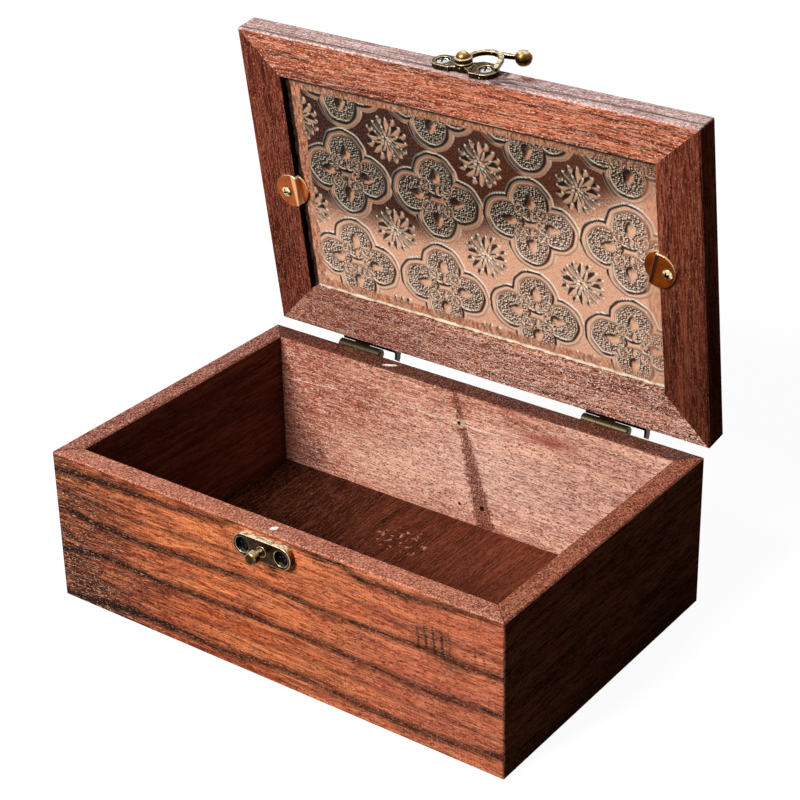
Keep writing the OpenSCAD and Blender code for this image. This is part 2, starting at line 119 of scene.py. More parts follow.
class Finish:
    """A material, or the world, and the nodes that make it."""

    def __init__(self, name, block=None, output="ShaderNodeOutputMaterial"):
        self.material = block or bpy.data.materials.new(name)
        self.material.use_nodes = True
        self.tree = self.material.node_tree
        self.tree.nodes.clear()
        self.output = self.tree.nodes.new(output)

    def node(self, kind, settings=None, values=None, out=0):
        """Any node: its settings are set first, then the values or links of its sockets."""
        made = self.tree.nodes.new(kind)
        for key, setting in (settings or {}).items():
            if key == "stops":
                ramp = made.color_ramp
                while len(ramp.elements) < len(setting):
                    ramp.elements.new(0.5)
                for element, (place, colour) in zip(ramp.elements, setting):
                    element.position = place
                    element.color = (*colour, 1.0)
            else:
                setattr(made, key, setting)
        for key, value in (values or {}).items():
            if isinstance(value, Value):
                self.tree.links.new(value.socket, made.inputs[key])
            elif value is not None:
                made.inputs[key].default_value = value
        return Value(self, made.outputs[out])

    def ramp(self, value, low, high):
        """0 below low, 1 above high, smooth between."""
        settings = {"interpolation_type": "SMOOTHSTEP"}
        values = {"Value": value, "From Min": low, "From Max": high}
        return self.node("ShaderNodeMapRange", settings, values)

    def band(self, value, low, high, soft):
        """1 between low and high, with soft sides."""
        rise = self.ramp(value, low - soft, low + soft)
        fall = self.ramp(value, high - soft, high + soft)
        return rise * (1 - fall)

    def stroke(self, value, width):
        """1 where value is 0, falling to 0 at width on either side."""
        return 1 - self.ramp(abs(value), 0.0, width)

    def point(self, x, y, z):
        """One vector out of three values."""
        return self.node("ShaderNodeCombineXYZ", None, {0: x, 1: y, 2: z})

    def noise(self, x, y, z, detail=2.0, rough=0.5):
        """Soft noise round 0.5; its bumps are about 1 wide in the values that it is given."""
        values = {"Vector": self.point(x, y, z), "Scale": 1.0, "Detail": detail, "Roughness": rough}
        return self.node("ShaderNodeTexNoise", None, values)

    def larger(self, first, second):
        """The larger of two values."""
        return self.node("ShaderNodeMath", {"operation": "MAXIMUM"}, {0: first, 1: second})

    def mix(self, amount, below, above):
        """The colour below where amount is 0, the colour above where it is 1."""
        settings = {"data_type": "RGBA"}
        return self.node("ShaderNodeMix", settings, {0: amount, 6: paint(below), 7: paint(above)}, 2)

    def place(self, shut=False):
        """The three coordinates in mm; those of the lid's parts are taken back to shut."""
        where = self.node("ShaderNodeTexCoord", None, None, "Object")
        settings = {"vector_type": "POINT"}
        values = {"Vector": where, "Scale": (1000.0, 1000.0, 1000.0)}
        if shut:
            values["Location"] = tuple(to_shut.to_translation())
            values["Rotation"] = tuple(to_shut.to_euler())
        where = self.node("ShaderNodeMapping", settings, values)
        return [self.node("ShaderNodeSeparateXYZ", None, {0: where}, axis) for axis in range(3)]

    def surface(self, kind, values):
        """Ends the finish with one shader of the given kind."""
        shader = self.node(kind, None, values)
        self.tree.links.new(shader.socket, self.output.inputs["Surface"])
        return self.material


def paint(colour):
    """A colour given as a web code or a link."""
    if isinstance(colour, Value):
        return colour
    if isinstance(colour, str):
        parts = [int(colour[i : i + 2], 16) / 255 for i in (1, 3, 5)]
        colour = [p / 12.92 if p <= 0.04045 else ((p + 0.055) / 1.055) ** 2.4 for p in parts]
    return (*colour[:3], 1.0)


print("a stain of #c05c34 is", [round(part, 3) for part in paint("#c05c34")[:3]], "as light")

# %% [markdown]
# The wood is an open-pored timber stained red-brown. Seen close it has three scales of
# marks: broad dark and light bands, finer year lines, and short dark pores with pale
# flecks, partly where the stain has rubbed off and partly painted glints of its sheen.
# All three are noise that is stretched along the board, so one function serves every
# board, with its own direction, tones and marks.

# %% Stained wood
# Weights of the long lines, of the dark pores and of the pale flecks; how round the short
# marks are; and how much gloss the stain has.
Grain = namedtuple("Grain", "lines pores flecks felt gloss")
# The five tones of a board, as web colours
Tones = namedtuple("Tones", "light middle dark pore fleck")


def wood(name, axis, tones, grain, seed, shut=False, marks=(), edges=()):
    """The finish of one board.

    axis is 0, 1 or 2, the one that the fibres follow. shut is true for boards of the lid.
    marks lie under the pores, edges over them.
    """
    finish = Finish(name)
    spot = finish.place(shut)
    along = spot[axis]
    across, through = [spot[i] for i in range(3) if i != axis]
    drift = finish.noise(along * 0.016, across * 0.03, through * 0.03 + seed, 2.0)
    side = across + (drift - 0.5) * 8.0
    deep = through + (drift - 0.5) * 5.0
    bands = finish.noise(along * 0.012, side * 0.11, deep * 0.11 + seed, 3.0, 0.6)
    years = finish.noise(along * 0.012, side * 0.45, deep * 0.45 + seed, 3.0, 0.6)
    fibre = finish.noise(along * 0.035, side * 1.0, deep * 1.0 + seed, 2.0, 0.65)
    hair = finish.noise(along * (0.12 + 0.3 * grain.felt), side * 1.7, deep * 1.7 + seed + 5, 1.0, 0.6)
    dots = finish.noise(along * (0.45 + 1.3 * grain.felt), side * 1.8, deep * 1.8 + seed + 9, 1.0, 0.6)
    spark = finish.noise(along * (0.8 + grain.felt), side * 1.9, deep * 1.9 + seed + 14, 1.0, 0.6)
    colour = finish.mix(finish.ramp(bands, 0.42, 0.58), tones.light, tones.middle)
    colour = finish.mix(finish.ramp(years, 0.50, 0.64) * grain.lines, colour, tones.dark)
    colour = finish.mix(finish.ramp(fibre, 0.50, 0.62) * (0.8 * grain.lines), colour, tones.dark)
    for mark in marks:
        colour = mark(finish, spot, colour)
    less = 0.6 - 0.4 * grain.felt
    colour = finish.mix(finish.ramp(hair, 0.52, 0.60) * (less * grain.pores), colour, tones.pore)
    # The pale flecks here and below are partly rubbed-off stain, partly painted glints.
    colour = finish.mix(finish.ramp(1 - hair, 0.52, 0.60) * (less * 0.8 * grain.flecks), colour, tones.fleck)
    more = 0.05 * grain.felt
    pits = finish.ramp(dots, 0.58 - more, 0.66 - more)
    colour = finish.mix(pits * grain.pores, colour, tones.pore)
    shine = finish.ramp(spark, 0.60 - more, 0.67 - more)
    colour = finish.mix(shine * grain.flecks, colour, tones.fleck)
    for edge in edges:
        colour = edge(finish, spot, colour)
    height = shine * 0.4 - pits - finish.ramp(fibre, 0.48, 0.62) * 0.5
    bump = finish.node("ShaderNodeBump", None, {"Strength": 0.7, "Distance": 0.0002, "Height": height})
    rough = 0.55 + pits * 0.2 - bands * 0.08
    values = {"Base Color": colour, "Roughness": rough, "Normal": bump}
    values["Specular IOR Level"] = grain.gloss
    return finish.surface("ShaderNodeBsdfPrincipled", values)


def dress(node, material):
    """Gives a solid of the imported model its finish; its shape stays."""
    solid = bpy.data.objects[node].data
    solid.materials.clear()
    solid.materials.append(material)


print("a grain has", Grain._fields, "and its tones are", Tones._fields)

# %% [markdown]
# The front board carries the marks that the eye goes to first: four long dark streaks
# that follow the grain, a wavy one under the top edge, two faint ones, and saw chatter
# near the right end. Each streak is a stroke round a height that wanders along the board.
# They are drawn over the pores and broken by fibres and crumbs, so they stay dark.

# %% Marks of the front board
# Each streak has a half width, a strength, and places along the board with its height there
STREAKS = (
    (2.4, 0.9, ((-100, 55.0), (-76, 57.0), (-40, 57.5), (-18, 59.3), (-8, 63.5), (100, 66.0))),
    (2.3, 0.95, ((-100, 39.5), (-80, 37.4), (-50, 37.4), (0, 40.1), (40, 39.2), (66, 40.2), (100, 40.2))),
    (2.2, 0.95, ((-100, 20.5), (-80, 24.5), (-50, 23.7), (0, 24.9), (30, 25.3), (70, 23.6), (100, 25.6))),
    (2.6, 0.95, ((-100, 1), (-86, 3), (-60, 5.3), (-22, 5.2), (5, 7.4), (30, 7), (66, 5.5), (100, 9))),
    (2.4, 1.0, ((-100, 70), (10, 62), (26, 60), (33, 60.6), (42, 58), (54, 57.8), (70, 59), (100, 62.5))),
    (1.2, 0.45, ((-100, 47.0), (-60, 45.5), (-20, 48.5), (30, 50.0), (66, 45.0), (100, 47.0))),
    (1.2, 0.45, ((-100, 14.0), (-60, 12.0), (-20, 14.5), (30, 16.5), (70, 14.5), (100, 16.0))),
)
# Where the saw chattered: from and to along the board, from and to in height
CHATTER = (64.0, 79.0, 39.0, 50.0)
FAINT_CHATTER = (86.0, 93.0, 42.0, 48.0)
# Middle and reach, in x and z, of the dark stain under it
STAIN = ((80.0, 38.0), (12.0, 6.0))


def streak(finish, x, z, width, depth, places):
    """A dark line through the given places, feathered along the grain.

    A colour ramp over the board's length keeps the heights, in tenths of a metre.
    """
    stops = [(place / CASE_W + 0.5, (height / 100,) * 3) for place, height in places]
    line = finish.node("ShaderNodeValToRGB", {"stops": stops}, {0: x / CASE_W + 0.5})
    sway = finish.noise(x * 0.11, z * 0.05, 7.0 + width, 3.0, 0.6) - 0.5
    feather = finish.noise(x * 0.05, z * 1.5, 3.0, 2.0, 0.6) - 0.5
    gap = abs(z - line * 100 + sway * 1.2) + feather * 3.0
    return (1 - finish.ramp(gap, 0.3, width * 1.15)) * depth


def patch(finish, x, z, middle, reach):
    """1 in the middle of a soft patch, 0 at its reach in x and in z."""
    return finish.stroke(x - middle[0], reach[0]) * finish.stroke(z - middle[1], reach[1])


def within(finish, x, z, limits, soft):
    """1 inside limits, given as from and to in x, from and to in z, with a soft border."""
    left, right, low, high = limits
    return finish.band(x, left, right, soft) * finish.band(z, low, high, 3.0)


def front_marks(finish, spot, colour):
    """Darker and threaded at the left end, pinker at the right, with the marks of the saw."""
    x, _, z = spot
    blotch = finish.noise(x * 0.045, z * 0.11, 31.0, 3.0, 0.55)
    west = 1 - finish.ramp(x + z * 0.35, -80.0, 0.0)
    colour = finish.mix(finish.ramp(blotch, 0.44, 0.60) * (0.2 + west * 0.5), colour, "#5c1c0c")
    colour = finish.mix(west * 0.25, colour, "#7a2c14")
    colour = finish.mix(finish.ramp(x, -10.0, 80.0) * 0.5, colour, "#b86650")
    thread = finish.noise(x * 0.03, z * 0.8, 9.0, 2.0, 0.7)
    left = 1 - finish.ramp(x + z * 0.35, -90.0, -30.0)
    colour = finish.mix(left * 0.35, colour, "#8a300e")
    colour = finish.mix(left * finish.ramp(thread, 0.42, 0.54) * 0.9, colour, "#260803")
    low = (1 - finish.ramp(x + z * 1.2, -86.0, -40.0)) * finish.ramp(thread, 0.38, 0.50)
    colour = finish.mix(low * 0.9, colour, "#1a0503")
    end = 1 - finish.ramp(x + z * 0.3, -92.0, -56.0)
    dash = finish.ramp(finish.noise(x * 0.16, z * 1.8, 4.0, 1.0, 0.6), 0.62, 0.66)
    colour = finish.mix(end * dash * 0.7, colour, "#f4aa80")
    # Near-white sparks at the left end: partly pale flecks of the wood, partly painted glints.
    sparks = finish.ramp(finish.noise(x * 1.2, z * 1.9, 14.0, 1.0, 0.6), 0.66, 0.70)
    colour = finish.mix(left * sparks, colour, "#ffe2cc")
    weave = finish.node("ShaderNodeMath", {"operation": "SINE"}, {0: x * 5.0 + z * 0.4})
    woven = finish.ramp(finish.noise(x * 0.03, z * 0.05, 11.0, 2.0), 0.45, 0.6)
    colour = finish.mix(woven * finish.ramp(weave, -0.2, 0.9) * 0.25, colour, "#6a2c16")
    teeth = finish.node("ShaderNodeMath", {"operation": "SINE"}, {0: x * 1.9 + z * 0.2})
    cut = finish.ramp(teeth, 0.0, 0.9)
    chatter = within(finish, x, z, CHATTER, 3.0)
    colour = finish.mix(chatter * (0.3 + cut * 0.65), colour, "#34100a")
    colour = finish.mix(within(finish, x, z, FAINT_CHATTER, 2.0) * cut * 0.5, colour, "#4a1c10")
    return finish.mix(patch(finish, x, z, *STAIN) * 0.65, colour, "#34140c")


def front_streaks(finish, spot, colour):
    """The long streaks, and short nearly black fibres that get dense at the left end."""
    x, _, z = spot
    west = 1 - finish.ramp(x + z * 0.35, -80.0, 10.0)
    total = None
    for width, depth, places in STREAKS:
        line = streak(finish, x, z, width, depth, places)
        total = line if total is None else total + line
    fibre = finish.ramp(finish.noise(x * 0.11, z * 1.1, 21.0, 2.0, 0.7), 0.50, 0.58)
    colour = finish.mix(total * (0.74 + fibre * 0.26 + west * 0.35), colour, "#180603")
    colour = finish.mix(fibre * (0.12 + west * 0.45), colour, "#200703")
    crumbs = finish.ramp(finish.noise(x * 0.8, z * 1.8, 33.0, 1.0, 0.6), 0.61, 0.66)
    colour = finish.mix(total * crumbs * 0.4, colour, "#dc9c7c")
    # Pale flecks at the left end: partly worn stain, partly painted glints.
    glow = finish.ramp(finish.noise(x * 0.2, z * 1.5, 27.0, 2.0, 0.7), 0.62, 0.67)
    return finish.mix(glow * west * 0.6, colour, "#f0a884")


print("streaks on the front board:", len(STREAKS))

# %% [markdown]
# The rims are sawn across and sanded, so they took the stain in specks and look paler than
# the faces. A mask finds the rim by its height, and felt-like noise gives it the specks.
# The same function serves the pale front edge of the lid, where saw lines and dried stain
# are added. Mitres, nicks and the rebate's painted shade are drawn over it in the same way.

# %% Marks of the rims and edges
def felt_edge(where, tones, pull=1.0):
    """A sawn edge took the stain in specks and looks paler; where gives its mask.

    tones run from pale to dark. A small pull draws the specks out along x.
    """

    def mark(finish, spot, colour):
        x, y, z = spot
        felt = finish.noise(x * (1.2 * pull), y * 1.2, z * 1.2, 1.0, 0.6)
        grit = finish.noise(x * (1.8 * pull), y * 1.8, z * 1.8 + 6.0, 1.0, 0.6)
        glint = finish.noise(x * (1.7 * pull), y * 1.7, z * 1.7 + 16.0, 1.0, 0.6)
        cloud = finish.noise(x * 0.08, y * 0.08, z * 0.08, 3.0)
        pale = finish.mix(finish.ramp(felt + (cloud - 0.5) * 0.5, 0.46, 0.54), tones[2], tones[1])
        pale = finish.mix(finish.ramp(grit, 0.54, 0.61) * 0.8, pale, tones[3])
        pale = finish.mix(finish.ramp(glint, 0.55, 0.61) * 0.7, pale, tones[0])
        return finish.mix(where(finish, x, y, z) * 0.92, colour, pale)

    return mark


def case_top(finish, x, y, z):
    """1 on the rim of the case."""
    return finish.ramp(z, CASE_H - 0.75, CASE_H - 0.25)


def lid_front_edge(finish, x, y, z):
    """1 on the front edge of the lid, as if it were shut."""
    return finish.ramp(0 - y, CASE_D / 2 - 0.7, CASE_D / 2 - 0.3)


def edge_stains(finish, spot, colour):
    """Saw lines along the lid's front edge, and stain that dried dark beside the latch plate."""
    x, y, z = spot
    where = lid_front_edge(finish, x, y, z)
    saw = finish.noise(x * 0.03, z * 1.3, 21.0, 3.0, 0.65)
    colour = finish.mix(where * finish.ramp(saw, 0.48, 0.60) * 0.6, colour, "#6a5458")
    sway = (finish.noise(x * 0.06, 1.0, 2.0, 2.0) - 0.5) * 1.6
    low = finish.stroke(z - 64.4 - (x + 60.0) * 0.012 - sway, 1.0)
    colour = finish.mix(where * low * 0.75, colour, "#33262a")
    cloud = finish.noise(x * 0.12, z * 0.35, 3.0, 3.0, 0.6)
    near = finish.stroke(x - 18.0, 20.0)
    colour = finish.mix(where * finish.ramp(cloud, 0.42, 0.58) * near * 0.8, colour, "#2e1f24")
    rusty = finish.stroke(x - 27.0, 6.0) * finish.stroke(z - 70.0, 3.0)
    return finish.mix(where * rusty * 0.8, colour, "#6e2a20")


def low_shade(finish, spot, colour):
    """Towards the hinges the right rail is darker."""
    return finish.mix(finish.ramp(spot[1], -30.0, 45.0) * 0.45, colour, "#2a0e08")


def warm_end(finish, spot, colour):
    """The left end of the back rail kept more of its stain."""
    return finish.mix((1 - finish.ramp(spot[0], -70.0, 20.0)) * 0.4, colour, "#7c3c26")


def nick(finish, spot, colour, middle, reach):
    """A bare white nick in a rim, at a place in x and y."""
    x, y, z = spot
    beside = x - middle[0]
    there = finish.stroke(beside, reach[0]) * finish.stroke(y - middle[1] - beside * 0.45, reach[1])
    return finish.mix(finish.ramp(there, 0.15, 0.4) * case_top(finish, x, y, z), colour, "#fff4ea")


# Middle and reach of the nicks, in x and y
NICKS = (((-39.0, 60.8), (4.0, 1.4)), ((2.2, -61.5), (1.8, 2.0)))


def mitres(finish, spot, colour):
    """The glue lines at the corners of the case, and the nicks."""
    x, y, z = spot
    for middle, reach in NICKS:
        colour = nick(finish, spot, colour, middle, reach)
    gap = abs((CASE_W / 2 - abs(x)) - (CASE_D / 2 - abs(y)))
    line = (1 - finish.ramp(gap, 0.1, 0.5)) * case_top(finish, x, y, z)
    return finish.mix(line * 0.6, colour, "#3a1a12")


def rebate(finish, spot, colour):
    """Painted shade: inside the rebate of the side rails the wood is painted nearly black."""
    x, _, z = spot
    wall = finish.ramp(z, LID_Z + 0.1, LID_Z + 0.3) * (1 - finish.ramp(abs(x), 86.0, 92.0))
    return finish.mix(wall * 0.9, colour, "#0d0503")


print("nicks in the rims:", len(NICKS))

# %% [markdown]
# The back board is the one that the lamp falls on, so its flaws show: clouds in the stain,
# a ragged crack that widens towards the floor, worm holes and two pale scratches. The floor
# has a scuffed place. Each is drawn at its own place in mm, and noise makes it uneven.

# %% Marks of the other boards
# Clouds of the back board: middle and reach in x and z, strength, tone
CLOUDS = (
    ((-40.0, 18.0), (46.0, 22.0), 0.6, "#f2bc9e"),
    ((-76.0, 12.0), (12.0, 12.0), 0.6, "#5c2c1e"),
    ((-49.0, 47.0), (22.0, 3.4), 0.6, "#7e3a2a"),
    ((14.0, 30.0), (70.0, 34.0), 0.55, "#ecc2b0"),
)
# Worm holes of the back board: middle in x and z, and radius. The first has a pale ring
HOLES = (((-3.0, 48.6), 1.0), ((7.7, 13.6), 1.4), ((-3.0, 12.4), 0.9))
RING = ((-2.4, 48.6), 2.4)
# The crack starts at the rim and leans to the right on its way down
CRACK_START, CRACK_LEAN = -5.2, 0.26
# Pale scratches: height at the board's middle, slope, bend, from and to in x with softness, tone
SCRATCHES = (
    (48.4, 0.0, 3.0, (-27.0, 17.0, 5.0), "#ffe8d2"),
    (50.8, 0.08, 2.0, (-90.0, -62.0, 4.0), "#fbd8bc"),
)
RED_STAIN = ((38.0, 52.5), (22.0, 4.0))
# Middle and reach, in x and y, of the scuffed place on the floor
SCUFF = ((-12.8, 31.6), (16.0, 11.0))


def square(value):
    """A number or a socket times itself."""
    return value * value


def pit(finish, x, z, middle, size):
    """1 inside a round hole in the back board."""
    gap = square(x - middle[0]) + square(z - middle[1])
    return 1 - finish.ramp(gap, size * size * 0.4, size * size)


def back_clouds(finish, spot, colour):
    """Darker at the left end, paler at the right, with soft clouds in the stain."""
    x, _, z = spot
    colour = finish.mix((1 - finish.ramp(x + z * 0.3, -70.0, 20.0)) * 0.75, colour, "#a65640")
    for middle, reach, strength, tone in CLOUDS:
        colour = finish.mix(patch(finish, x, z, middle, reach) * strength, colour, tone)
    return finish.mix(finish.ramp(x, 20.0, 80.0) * 0.25, colour, "#ecc2b0")


def back_scars(finish, spot, colour):
    """A ragged crack from rim to floor, worm holes, pale scratches and a red stain."""
    x, _, z = spot
    wander = finish.noise(z * 0.18, 2.0, 5.0, 3.0, 0.6) - 0.5
    ragged = finish.noise(x * 0.9, z * 0.7, 8.0, 3.0, 0.8) - 0.5
    down = CASE_H - z
    crack = abs(x - CRACK_START - down * CRACK_LEAN + wander * 6.0) + ragged * 9.0
    reach = down * 0.06 + 1.0
    inside = finish.ramp(finish.noise(x * 1.2, z * 1.4, 6.0, 1.0, 0.6), 0.44, 0.58)
    bark = finish.mix(inside, "#823c26", "#280c07")
    flaky = finish.ramp(finish.noise(x * 1.5, z * 1.5, 26.0, 1.0, 0.6), 0.40, 0.54) * 0.45 + 0.5
    colour = finish.mix((1 - finish.ramp(crack - reach, -0.9, 1.1)) * flaky, colour, bark)
    bow = finish.noise(x * 0.08, 4.0, 1.0, 2.0) - 0.5
    broken = finish.ramp(finish.noise(x * 0.5, 3.0, 1.0, 2.0, 0.7), 0.38, 0.56)
    for height, slope, bend, ends, tone in SCRATCHES:
        scratch = finish.stroke(z - height - x * slope - bow * bend, 0.5) * finish.band(x, *ends)
        colour = finish.mix(scratch * broken * 0.85, colour, tone)
    colour = finish.mix(patch(finish, x, z, *RED_STAIN) * 0.8, colour, "#8e3c30")
    colour = finish.mix(pit(finish, x, z, *RING) * 0.4, colour, "#f8d8b4")
    for middle, size in HOLES:
        colour = finish.mix(pit(finish, x, z, middle, size), colour, "#2e100a")
    return colour


def floor_marks(finish, spot, colour):
    """Redder to the right, in the left wall's shade at the left, and scuffed in one place."""
    x, y, _ = spot
    colour = finish.mix(finish.ramp(x, -30.0, 60.0) * 0.45, colour, "#7a3e2c")
    chips = finish.ramp(finish.noise(x * 0.38, y * 0.3, 3.0, 2.0, 0.7), 0.585, 0.62)
    scuffed = patch(finish, x, y, *SCUFF)
    colour = finish.mix(chips * finish.ramp(scuffed, 0.05, 0.3), colour, "#d8a088")
    shade = 1 - finish.ramp(x + 0.2 * y, -70.0, 24.0)
    return finish.mix(shade * 0.85, colour, "#180704")


print("back board:", len(CLOUDS), "clouds and", len(HOLES), "worm holes")

# %% [markdown]
# Now the boards of the case get their wood. A table keeps their differences in one place:
# the direction of the fibres, the five tones, the weights of the grain, a seed so that no
# two boards repeat each other, and the marks that lie under or over the pores.

# %% Boards of the case
RIM_FRONT = ("#eeb49a", "#c87e66", "#a25a44", "#50221a")
RIM_LEFT = ("#e8b8a6", "#ac6854", "#7c3e30", "#240c06")
RIM_RIGHT = ("#e09c82", "#ae664c", "#884632", "#401a0e")
# The back rim lies in the open lid's shadow, so its tones are painted dark as shade.
RIM_BACK = ("#a8644e", "#461c12", "#260a06", "#100402")
FRONT_TONES = Tones("#e4804c", "#c05c34", "#7a2c14", "#3a1209", "#f6b890")
BACK_TONES = Tones("#e09c80", "#b87058", "#8c4a36", "#501e12", "#ffdcc6")
LEFT_TONES = Tones("#784636", "#623426", "#3e1c13", "#280f0a", "#966050")
RIGHT_TONES = Tones("#7a4430", "#603222", "#3a1a10", "#200c07", "#9a6248")
FLOOR_TONES = Tones("#6e3624", "#5a2818", "#34140b", "#200904", "#b46c4c")

FRONT_GRAIN = Grain(0.8, 0.65, 0.25, 0.05, 0.05)
BACK_GRAIN = Grain(0.6, 0.7, 0.6, 0.22, 0.05)

# Node, axis of the fibres, tones, grain, seed, marks under and over the pores, rim
boards = (
    ("front_wall", 0, FRONT_TONES, FRONT_GRAIN, 1.3, (front_marks,), (front_streaks,), RIM_FRONT),
    ("back_wall", 0, BACK_TONES, BACK_GRAIN, 4.1, (back_clouds,), (back_scars,), RIM_BACK),
    ("left_wall", 1, LEFT_TONES, Grain(0.7, 0.5, 0.4, 0.0, 0.02), 7.7, (), (), RIM_LEFT),
    ("right_wall", 1, RIGHT_TONES, Grain(0.7, 0.6, 0.5, 0.0, 0.0), 2.9, (), (), RIM_RIGHT),
    ("floor_panel", 1, FLOOR_TONES, Grain(0.55, 0.5, 0.3, 0.0, 0.04), 5.2, (floor_marks,), (), None),
)
for node, axis, tones, grain, seed, marks, scars, rim in boards:
    edges = scars + ((felt_edge(case_top, rim), mitres) if rim else ())
    dress(node, wood(node + "_wood", axis, tones, grain, seed, False, marks, edges))
print("boards of the case:", [board[0] for board in boards])

# %% [markdown]
# The four rails of the lid are dressed from a table of the same kind. Their grain is laid
# out on the shut lid, so it turns with the rails and stays fixed to them at any opening.

# %% Boards of the lid
EDGE_TONES = ("#fcece6", "#e0bcb4", "#c09890", "#7a5650")
TOP_TONES = Tones("#ca6e4a", "#a85438", "#602416", "#300f08", "#ffceb4")
LEFT_RAIL = Tones("#763524", "#5c2415", "#36120a", "#280b06", "#b0705a")
RIGHT_RAIL = Tones("#8a4630", "#6a3020", "#3c180e", "#280d07", "#b07058")
LOW_TONES = Tones("#c88468", "#a45e46", "#5c281a", "#2c0f08", "#ffe2d4")

pale_edge = felt_edge(lid_front_edge, EDGE_TONES, 0.5)
rails = (
    ("lid_front_rail", 0, TOP_TONES, Grain(0.85, 0.7, 0.6, 0.15, 0.05), 3.3, (pale_edge, edge_stains)),
    ("lid_left_rail", 1, LEFT_RAIL, Grain(0.7, 0.6, 0.6, 0.15, 0.02), 6.1, (rebate,)),
    ("lid_right_rail", 1, RIGHT_RAIL, Grain(0.7, 0.6, 0.5, 0.0, 0.0), 8.4, (rebate, low_shade)),
    ("lid_back_rail", 0, LOW_TONES, Grain(0.65, 0.95, 0.85, 0.4, 0.05), 9.9, (warm_end,)),
)
for node, axis, tones, grain, seed, edges in rails:
    dress(node, wood(node + "_wood", axis, tones, grain, seed, True, (), edges))
print("boards of the lid:", [rail[0] for rail in rails])

# %% [markdown]
# The pane is rolled glass: a traditional repeat of four-lobed figures with stippled
# grounds, and eight-petalled flowers where four of them meet. The relief is real here.
# A fine grid is lifted by simple profiles of the distance to each outline, which keeps
# the lines crisp at any place of the repeat.

# %% The rolled pattern
PANE_LEFT, PANE_RIGHT = -CASE_W / 2 + RAIL_SIDE + 0.8, CASE_W / 2 - RAIL_SIDE - 0.8
PANE_FRONT, PANE_BACK = -CASE_D / 2 + RAIL_FRONT + 0.8, CASE_D / 2 - RAIL_BACK - 0.8
PANE_Z, PANE_T = LID_Z + 2.0, 3.5
# Size of the repeat, and the middle of its first figure, from the left and from the back
REPEAT = (42.0, 39.4)
FIRST = (43.7, 38.5)
# The pane was cut a little askew: the roller's rows are turned by a degree and moved
ASKEW = math.radians(1.0)
MOVED = (0.8, 2.2)
# How far the roller's lines sway
SWAY = 0.14
# Each figure is two pairs of round lobes: how far out their middles are, and their radius
SIDE_LOBES, END_LOBES = (10.8, 10.0), (9.0, 10.2)
# The outline's rib: how far inside the edge its crest is, and its half width
RIB_IN, RIB_HALF = 1.3, 1.6
# Heights of the rib, of the dots and of the buds and leaves
RIB_HIGH, DOT_HIGH, BUD_HIGH = 0.48, 0.2, 0.44
# A small ring with a pearl lies between the buds: its place on both axes, and its radius
CURL_PLACE, CURL_RADIUS = 4.9, 2.2
# Turn in steps of 45 degrees, middle, half length and half width of each kind of petal
PETALS = ((0, 6.0, 3.3, 1.9), (0.5, 3.6, 2.4, 1.3), (0.5, 8.2, 1.7, 1.5))


def rounded(distance, width):
    """A half-round rib of the given half width, 1 on its crest."""
    return np.sqrt(np.clip(1 - (distance / width) ** 2, 0, None))


def rise(value, start, width):
    """0 up to start, 1 from width above it on."""
    return np.clip((value - start) / width, 0, 1)


def hairline(distance, width):
    """A thin line, 1 where the distance is 0, 0 at the given width on either side."""
    return np.clip(1 - np.abs(distance) / width, 0, 1)


def leaf(along, across, middle, length, width):
    """A leaf with pointed ends, 1 on its spine, 0 at its edge."""
    half = width * np.clip(1 - ((along - middle) / length) ** 2, 0, None)
    return np.clip(1 - np.abs(across) / np.maximum(half, 1e-6), 0, 1) * (half > 0)


def dots(a, b, pitch=0.98):
    """Round dots in staggered rows, each a little out of place, as a worn roller leaves them."""
    row = pitch * 0.87
    high = np.zeros_like(a)
    for lift in (0, 1):
        line = np.floor(b / row) + lift
        for push in (0, 1):
            cell = np.floor(a / pitch + 0.5 * (line % 2)) + push
            toss = np.sin(cell * 12.9898 + line * 78.233) * 43758.5453
            toss = toss - np.floor(toss)
            other = (toss * 57.31) % 1.0
            middle_a = (cell - 0.5 * (line % 2)) * pitch + (toss - 0.5) * 0.35
            middle_b = line * row + (other - 0.5) * 0.35
            size = 0.38 + 0.10 * toss
            high = np.maximum(high, rounded(np.hypot(a - middle_a, b - middle_b), size))
    return high


def places(a, b):
    """Where each point lies from the middle of its figure, p, q, and of its flower, r, s.

    a and b are measured on the pane, from the left and from the back.
    """
    along, deep = a - CASE_W / 2, b - CASE_D / 2
    a, b = a + MOVED[0] - ASKEW * deep, b + MOVED[1] + ASKEW * along
    a = a + SWAY * np.sin(0.9 * b + 2.0 * np.sin(0.31 * a))
    b = b + SWAY * np.sin(0.8 * a + 2.0 * np.sin(0.27 * b))
    p = (a - FIRST[0] + REPEAT[0] / 2) % REPEAT[0] - REPEAT[0] / 2
    q = (b - FIRST[1] + REPEAT[1] / 2) % REPEAT[1] - REPEAT[1] / 2
    r = (a - FIRST[0]) % REPEAT[0] - REPEAT[0] / 2
    s = (b - FIRST[1]) % REPEAT[1] - REPEAT[1] / 2
    return p, q, r, s


def dome(along, across, length, width):
    """A rounded bud, 1 on its top, 0 from its outline on."""
    return np.sqrt(np.clip(1 - (along / length) ** 2 - (across / width) ** 2, 0, None))


def relief_of_leaves(a, b):
    """The buds and leaves of the figures and of the flowers, 1 on their tops."""
    p, q, r, s = places(a, b)
    leaves = np.zeros_like(a)
    for u, v in ((p, q), (-p, q), (q, p), (-q, p)):
        taper = np.clip(1.15 - (u - 9.4) * 0.12, 0.5, 1.6)
        leaves = np.maximum(leaves, dome(u - 9.4, v, 3.4, 2.0 * taper))
        leaves = np.maximum(leaves, 0.8 * dome(u - 3.6, v, 2.2, 1.0))
        stem = rounded(v - 0.9 * np.sin((u - 2) * 0.9), 0.5) * (np.abs(u - 3.6) < 2.2)
        leaves = np.maximum(leaves, 0.6 * stem)
    for step in range(8):
        for half, middle, length, width in PETALS:
            turn = math.radians(45 * (step + half))
            out = r * math.cos(turn) + s * math.sin(turn)
            aside = -r * math.sin(turn) + s * math.cos(turn)
            leaves = np.maximum(leaves, leaf(out, aside, middle, length, width))
    return leaves


